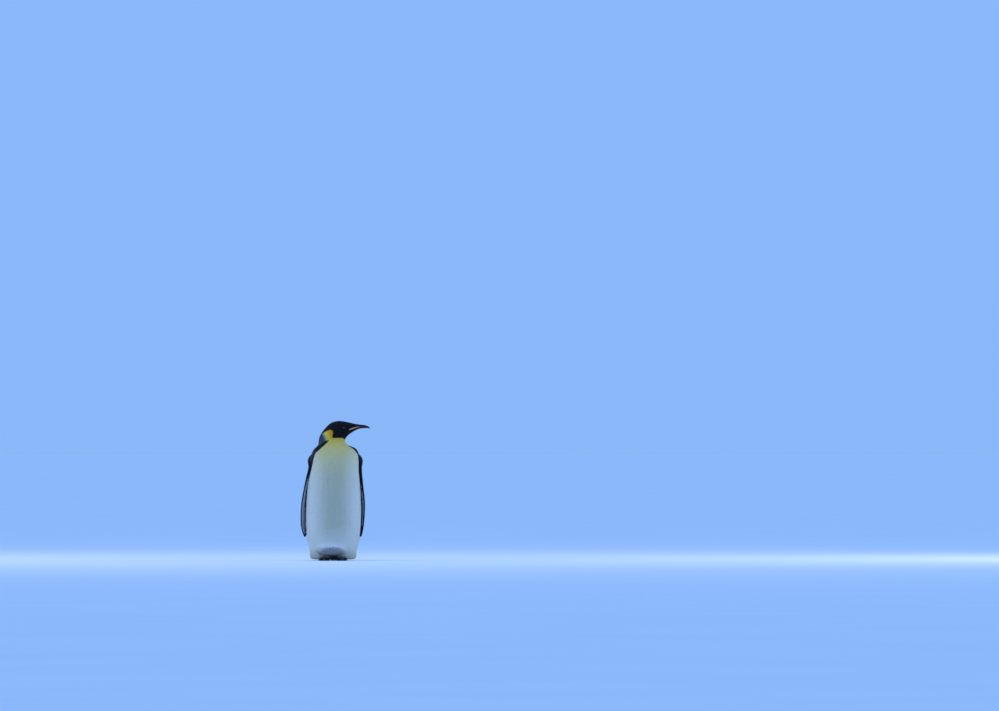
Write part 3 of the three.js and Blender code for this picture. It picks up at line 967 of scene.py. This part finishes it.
@dataclass
class Coat:
    """The feathers: closed thin vanes, rooted all over the skin and laid along it."""

    skin: Skin
    markings: Markings
    seed: int = 11
    crowd: float = 3.2
    patch: float = 0.003
    quick_spacing: float = 1.6
    # Each row's place along the vane, its share of the width, and its share of the tip's rise.
    rows: tuple = ((0.4, 0.94, 0.56), (0.8, 0.66, 0.9))
    crown: float = 0.08
    root_depth: float = 0.4 * MM
    twist: float = math.radians(5)
    # Each vane's tone from root to tip: darker at the root, partly the greyer down and partly painted shade
    # where the vanes overlap.
    shades: tuple = ((0.0, 0.84), (0.4, 0.95), (0.8, 1.0), (1.0, 1.02))
    frost: str = "#8d9aab"
    frosting: float = 0.4
    # How much the feathers' tones vary, on the fold and elsewhere.
    fold_spread: float = 0.16
    spread: float = 0.03
    # Where the belly's piece ends and the breast's begins.
    breast_from: float = 400

    def build(self, plumage: Material) -> list[Object]:
        """Grow the whole coat.

        Args:
            plumage: the feathers' finish.

        Returns:
            The coat's pieces.
        """
        self.random = np.random.default_rng(self.seed)
        self.plant()
        self.lay()
        return [self.make_piece(f"coat_{name}", members, plumage) for name, members in self.parted().items()]

    def plant(self) -> None:
        """Choose the roots: evenly scattered, no two closer than the feathers' spacing there."""
        surface = self.skin.surface
        body = (surface.triangles < self.skin.body_points).all(axis=1)
        triangles = surface.triangles[body]
        loops = surface.loops[body]
        corners = surface.points[triangles]
        first, second, third = corners.transpose(1, 0, 2)
        areas = np.linalg.norm(np.cross(second - first, third - first), axis=1) / 2
        sizes = self.skin.sizes[triangles].mean(axis=1)
        spacing = sizes[:, 2] * 1.0
        counts = self.random.poisson(self.crowd * areas / spacing**2)
        chosen = np.repeat(np.arange(len(counts)), counts)
        self.random.shuffle(chosen)
        shares = self.random.dirichlet((1.0, 1.0, 1.0), len(chosen))
        points = np.einsum("ij,ijk->ik", shares, corners[chosen])
        kept = self.thinned(points, spacing[chosen])
        chosen, shares = chosen[kept], shares[kept]
        self.roots = points[kept]
        self.normals = unit(np.einsum("ij,ijk->ik", shares, surface.normals[triangles[chosen]]))
        self.sizes = np.einsum("ij,ijk->ik", shares, self.skin.sizes[triangles[chosen]])
        self.names = self.skin.names[triangles[chosen][:, 0]]
        uv = read(bpy.data.objects["skin"].data.uv_layers[BAKE_MAP].data, "uv", 2)
        self.root_uv = np.einsum("ij,ijk->ik", shares, uv[loops[chosen]])

    @staticmethod
    def thinned(points: Array, spacing: Array) -> Array:
        """Drop each point that is too close to one already kept.

        Args:
            points: the candidates in random order.
            spacing: the least distance round each one.

        Returns:
            The numbers of the points that are kept.
        """
        tree = KDTree(len(points))
        listed = points.tolist()
        for number, point in enumerate(listed):
            tree.insert(point, number)
        tree.balance()
        free = bytearray(b"\x01") * len(listed)
        kept = []
        for number, (point, reach) in enumerate(zip(listed, spacing.tolist())):
            if free[number]:
                kept.append(number)
                for _, other, _ in tree.find_range(point, reach):
                    free[other] = 0
        return np.array(kept)

    def lie(self) -> Array:
        """Work out which way the coat lies at each root.

        Returns:
            Unit vectors along the skin.
        """
        x, _, z = self.markings.local(self.roots).T
        down = np.array((0.0, 0.22, -1.0))
        swept = np.array((-1.0, 0.0, -0.35))
        ways = mixed(down, swept, ramp(z, 800, 880) * ramp(x, -95, -20))
        ways[np.char.startswith(self.names, "flipper")] = (0.0, 0.3, -1.0)
        ways[self.names == "tail"] = (0.0, 0.75, -0.9)
        return flattened(ways, self.normals)

    def lay(self) -> None:
        """Lay each feather's middle line along the skin from its root, station by station."""
        count = len(self.roots)
        turn = self.random.normal(0.0, self.twist, count)
        ways = self.lie()
        sides = np.cross(self.normals, ways)
        ways = ways * np.cos(turn)[:, None] + sides * np.sin(turn)[:, None]
        self.sizes[:, 0] *= self.random.uniform(0.85, 1.12, count)
        self.sizes[:, 1] *= self.random.uniform(0.88, 1.12, count)
        place, normal = self.roots, self.normals
        self.stations = [(place, normal, unit(np.cross(normal, ways)))]
        done = 0.0
        for share in (*[row[0] for row in self.rows], 1.0):
            step = self.sizes[:, 0:1] * (share - done)
            place, normal = self.skin.surface.nearest(place + ways * step)
            ways = flattened(ways, normal)
            self.stations.append((place, normal, unit(np.cross(normal, ways))))
            done = share

    def parted(self) -> dict[str, Array]:
        """Part the feathers into pieces by where they grow."""
        _, y, z = self.markings.local(self.roots).T
        names = self.names
        trunk = (names == "trunk") | (names == "brood_fold")
        back = y > BACK_AT
        high = z > self.breast_from
        parts = {
            "head": names == "head",
            "neck": names == "neck",
            "breast": trunk & ~back & high,
            "belly": trunk & ~back & ~high,
            "mantle": trunk & back & high,
            "rump": trunk & back & ~high,
            "flipper_right": names == "flipper_right",
            "flipper_left": names == "flipper_left",
            "legs": np.char.startswith(names, "leg"),
            "tail": names == "tail",
        }
        return {name: np.flatnonzero(members) for name, members in parts.items()}

    def make_piece(self, name: str, members: Array, plumage: Material) -> Object:
        """Make one piece of the coat as a mesh of closed vanes.

        Args:
            name: the piece's name.
            members: the numbers of its feathers.
            plumage: its finish.

        Returns:
            The piece.
        """
        count = len(members)
        half = self.sizes[members, 1:2] / 2
        depth = self.sizes[members, 3:4]
        tip_lift = self.random.uniform(0.96, 1.02, (count, 1))
        crown = self.crown * half
        root, *middles, tip = [(p[members], n[members], s[members]) for p, n, s in self.stations]
        corners = [root[0] - root[1] * self.root_depth]
        places = [(0.0, 0.0)]
        for (share, wide, lift), (place, normal, side) in zip(self.rows, middles):
            middle = place + normal * depth * lift * tip_lift
            for offset, rise in ((1.0, -0.6), (0.0, 1.0), (-1.0, -0.6)):
                corners.append(middle + side * half * wide * offset + normal * crown * rise)
                places.append((offset * wide, share))
        corners.append(tip[0] + tip[1] * depth * tip_lift)
        places.append((0.0, 1.0))
        spots = np.array(places)
        loops, totals = self.vane_faces()
        first = np.arange(count)[:, None]
        mesh = bpy.data.meshes.new(name)
        mesh.vertices.add(count * len(corners))
        mesh.vertices.foreach_set("co", np.stack(corners, axis=1).astype(np.float32).ravel())
        mesh.loops.add(count * len(loops))
        mesh.loops.foreach_set("vertex_index", (first * len(corners) + loops).astype(np.int32).ravel())
        mesh.polygons.add(count * len(totals))
        starts = first * len(loops) + np.cumsum(totals) - totals
        mesh.polygons.foreach_set("loop_start", starts.astype(np.int32).ravel())
        mesh.update(calc_edges=True)
        self.add_bake_map(mesh, members, spots[loops])
        add_colours(mesh, self.vane_colours(members, spots[:, 1]))
        piece = placed(name, mesh, [plumage])
        pale = name.endswith(("breast", "belly", "legs"))
        return registered(piece, "white_plumage" if pale else "slate_plumage")

    def vane_faces(self) -> tuple[Array, Array]:
        """Number the corners of one closed vane's faces: crowned above, flat below.

        Returns:
            The corner numbers of all faces in a row, and how many corners each face has.
        """
        count = len(self.rows)
        rings = [(0, 0, 0), *((3 * i + 1, 3 * i + 2, 3 * i + 3) for i in range(count)), (3 * count + 1,) * 3]
        faces = []
        for below, above in zip(rings, rings[1:]):
            for one, other in ((2, 1), (1, 0), (0, 2)):
                # A ring that is one point gives the same corner twice, which counts once.
                faces.append(list(dict.fromkeys((below[one], above[one], above[other], below[other]))))
        return np.array(sum(faces, [])), np.array([len(face) for face in faces])

    def add_bake_map(self, mesh: Mesh, members: Array, places: Array) -> None:
        """Give each feather a small patch of the bake map, at its root's place on the skin.

        Args:
            mesh: the piece's mesh.
            members: the numbers of its feathers.
            places: for each face corner of one vane, its place across, from -1 to 1, and along, from 0 to 1.
        """
        patch = self.patch * (places * (0.5, 1.0) - (0.0, 0.5))
        uv = self.root_uv[members][:, None, :] + patch
        mesh.uv_layers.new(name=BAKE_MAP).data.foreach_set("uv", uv.astype(np.float32).ravel())

    def vane_colours(self, members: Array, along: Array) -> Array:
        """Colour one piece's feathers by the markings, darker at the root (the greyer down, with painted
        shade between the vanes) and each a little different.

        Args:
            members: the numbers of its feathers.
            along: each corner's place along a vane, from 0 to 1.

        Returns:
            Linear red, green and blue for each corner of each feather.
        """
        names = self.names[members]
        place, normal, _ = self.stations[-2]
        base = self.markings.colours(place[members], normal[members], names)
        spread = np.where(names == "brood_fold", self.fold_spread, self.spread)[:, None]
        base = base * (1.0 + spread * self.random.standard_normal((len(members), 1))).clip(0.75, 1.2)
        # Darker towards the root: the greyer down, with painted shade where the vanes overlap.
        colours = base[:, None, :] * along_table(along, self.shades)[None, :, None]
        # Slate feathers end in a paler blue grey, which makes the mantle look scaled.
        light = base.mean(axis=1)
        slaty = ramp(light, 0.02, 0.05) * (1.0 - ramp(light, 0.16, 0.25))
        slaty = slaty * ~np.char.startswith(names, "flipper")
        frosted = self.frosting * slaty[:, None] * ramp(along, 0.8, 1.0)
        colours = colours + (tint(self.frost) - colours) * frosted[:, :, None]
        return colours.reshape(-1, 3).clip(0, 1)


@dataclass(frozen=True)
class Bill:
    """The bill: two horny halves that close on each other, and a smooth plate on each side below."""

    voxel: float = 1.1 * MM
    smoothing: int = 4
    seat: float = 6.0 * MM
    closing: float = 0.8 * MM

    def build(self) -> list[Object]:
        """Smooth the CAD shapes over and give them their horn.

        Returns:
            The bill's pieces.
        """
        horn = Horn("black_bill_horn", 0.42, specular=0.3, ior=1.54).make()
        plate = Plate("bill_plate_horn", 0.36, specular=0.3, ior=1.54, coat=0.1).make()
        made = []
        for node, finish, slot in (
            ("bill_upper", horn, "bill_horn"),
            ("bill_lower", horn, "bill_horn"),
            ("bill_plate_right", plate, "bill_plate"),
            ("bill_plate_left", plate, "bill_plate"),
        ):
            mesh = remeshed(node_shape([node]), f"{node}_horn", self.voxel, self.smoothing)
            if finish is horn:
                self.fit_half(mesh, 1.0 if node == "bill_lower" else -1.0)
            made.append(registered(placed(f"{node}_horn", mesh, [finish]), slot, node))
        return made

    def fit_half(self, mesh: Mesh, rise: float) -> None:
        """Push a bill half's flat root back under the face's feathers, and close its mouth edge on the other.

        Args:
            mesh: the half's mesh.
            rise: 1 if its mouth edge is on top, -1 if it is underneath.
        """
        surface = Surface(mesh)
        surface.points[:, 0] -= self.seat * ramp(-surface.normals[:, 0], 0.35, 0.75)
        surface.points[:, 2] += rise * self.closing * ramp(rise * surface.normals[:, 2], 0.45, 0.8)
        mesh.vertices.foreach_set("co", surface.points.astype(np.float32).ravel())
        mesh.update()


@dataclass(frozen=True)
class Eye:
    """One eye: the wet ball with its cornea, and the lids round it."""

    node: str
    side: int
    open_half: tuple[float, float] = (9.0 * MM, 5.3 * MM)
    cornea: float = 0.66 * MM
    cornea_from: float = 0.75
    ball: float = 0.97
    spokes: int = 64
    outer: float = math.radians(76)
    # The lids' section, from the opening out and back underneath: share of the way, height in radii.
    profile: tuple = (
        (0.0, 1.0), (0.03, 1.07), (0.16, 1.11), (0.4, 1.10), (0.7, 1.05), (1.0, 0.98), (1.0, 0.9), (0.5, 0.9),
        (0.0, 0.93),
    )

    def build(self) -> list[Object]:
        """Make the ball and the lids.

        Returns:
            The two pieces.
        """
        low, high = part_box(self.node)
        middle = (low + high) / 2
        radius = (high.z - low.z) / 2
        return [self.build_ball(middle, radius), self.build_lids(middle, radius)]

    def build_ball(self, middle: Vector, radius: float) -> Object:
        """Make the eyeball, with the cornea bulging from its outer side."""
        bm = bmesh.new()
        bmesh.ops.create_uvsphere(bm, u_segments=48, v_segments=32, radius=radius * self.ball)
        bmesh.ops.rotate(bm, verts=bm.verts, matrix=QUARTER_TURN)
        for vertex in bm.verts:
            facing = self.side * vertex.co.y / radius
            if facing > self.cornea_from:
                vertex.co.y += self.side * self.cornea * (facing - self.cornea_from) / (1 - self.cornea_from)
        bmesh.ops.translate(bm, verts=bm.verts, vec=middle)
        for face in bm.faces:
            face.smooth = True
        gloss = EyeGloss(f"wet_{self.node}", 0.07, specular=0.4, ior=1.38, coat=0.6, middle=tuple(middle))
        return registered(new_object(f"{self.node}_ball", bm, [gloss.make()]), "eye", self.node)

    def build_lids(self, middle: Vector, radius: float) -> Object:
        """Make the two lids as one closed ring over the ball, open in an almond shape.

        Args:
            middle: the ball's centre.
            radius: the ball's radius.

        Returns:
            The lids.
        """
        bm = bmesh.new()
        bmesh.ops.create_circle(bm, segments=self.spokes, radius=radius)
        bmesh.ops.rotate(bm, verts=bm.verts, matrix=QUARTER_TURN)
        bmesh.ops.translate(bm, verts=bm.verts, vec=middle)
        first = edges = list(bm.edges)
        self.shape_ring(bm.verts, middle, radius, *self.profile[0])
        for share, height in self.profile[1:]:
            geom = bmesh.ops.extrude_edge_only(bm, edges=edges)["geom"]
            edges = [item for item in geom if isinstance(item, BMEdge)]
            ring = [item for item in geom if isinstance(item, BMVert)]
            self.shape_ring(ring, middle, radius, share, height)
        bmesh.ops.bridge_loops(bm, edges=[*first, *edges])
        bmesh.ops.recalc_face_normals(bm, faces=bm.faces)
        for face in bm.faces:
            face.smooth = True
        finish = LidSkin("bare_lid_skin", 0.7, specular=0.15).make()
        return registered(new_object(f"{self.node}_lids", bm, [finish]), "black_plumage")

    def shape_ring(
        self, ring: Iterable[BMVert], middle: Vector, radius: float, share: float, height: float
    ) -> None:
        """Lay one ring of the lids over the ball.

        Args:
            ring: the ring's vertices, which keep their bearing from the ball's centre.
            middle: the ball's centre.
            radius: the ball's radius.
            share: how far out the ring is, from 0 at the opening's edge to 1 at the lids' outer edge.
            height: the ring's distance from the ball's centre, in radii.
        """
        wide, tall = (math.asin(half / radius) for half in self.open_half)
        for vertex in ring:
            bearing = math.atan2(vertex.co.z - middle.z, vertex.co.x - middle.x)
            edge = 1.0 / math.hypot(math.cos(bearing) / wide, math.sin(bearing) / tall)
            polar = edge + (self.outer - edge) * share
            flat = Vector((math.cos(bearing), 0.0, math.sin(bearing))) * math.sin(polar)
            out = flat + Vector((0.0, self.side * math.cos(polar), 0.0))
            vertex.co = middle + out * radius * height


@dataclass(frozen=True)
class Claws:
    """The three claws of one foot: curved dark horn."""

    side: str
    voxel: float = 0.9 * MM

    def build(self) -> Object:
        """Smooth the CAD claws over and join them.

        Returns:
            The piece.
        """
        nodes = [f"claw_{self.side}_{toe}" for toe in ("outer", "middle", "inner")]
        mesh = remeshed(node_shape(nodes), f"claws_{self.side}", self.voxel, 3)
        horn = Horn("dark_claw_horn", 0.4, specular=0.5, ior=1.54, base="#161311", pale="#3a322b").make()
        return registered(placed(f"claws_{self.side}", mesh, [horn]), "claw_horn", *nodes)


def bird_axis() -> Vector:
    """Find the bird's upright axis, which its markings are measured from, by the place of its eyes."""
    right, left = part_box("eye_right"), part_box("eye_left")
    middle = (right[0] + right[1] + left[0] + left[1]) / 4
    return Vector((middle.x - EYES_AT, middle.y, 0.0))


def triangles_of(piece: Object) -> int:
    """Count a piece's triangles."""
    return sum(len(polygon.vertices) - 2 for polygon in piece.data.polygons)


def main() -> None:
    """Build the studio and the bird, in order, and report each piece."""
    logging.basicConfig(level=logging.INFO, format="%(message)s")
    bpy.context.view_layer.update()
    Studio().build()
    markings = Markings(bird_axis())
    plumage = Plumage("preened_feathers", 0.7, specular=0.16, ior=1.55, sheen=0.04).make()
    skin = Skin(markings)
    made = [skin.build(plumage)]
    LOG.info("skin done")
    made += Coat(skin, markings).build(plumage)
    made += Bill().build()
    made += Eye("eye_right", -1).build()
    made += Eye("eye_left", 1).build()
    made += [Claws(side).build() for side in ("right", "left")]
    for piece in made:
        LOG.info("%s: %d triangles", piece.name, triangles_of(piece))


if __name__ == "__main__":
    main()
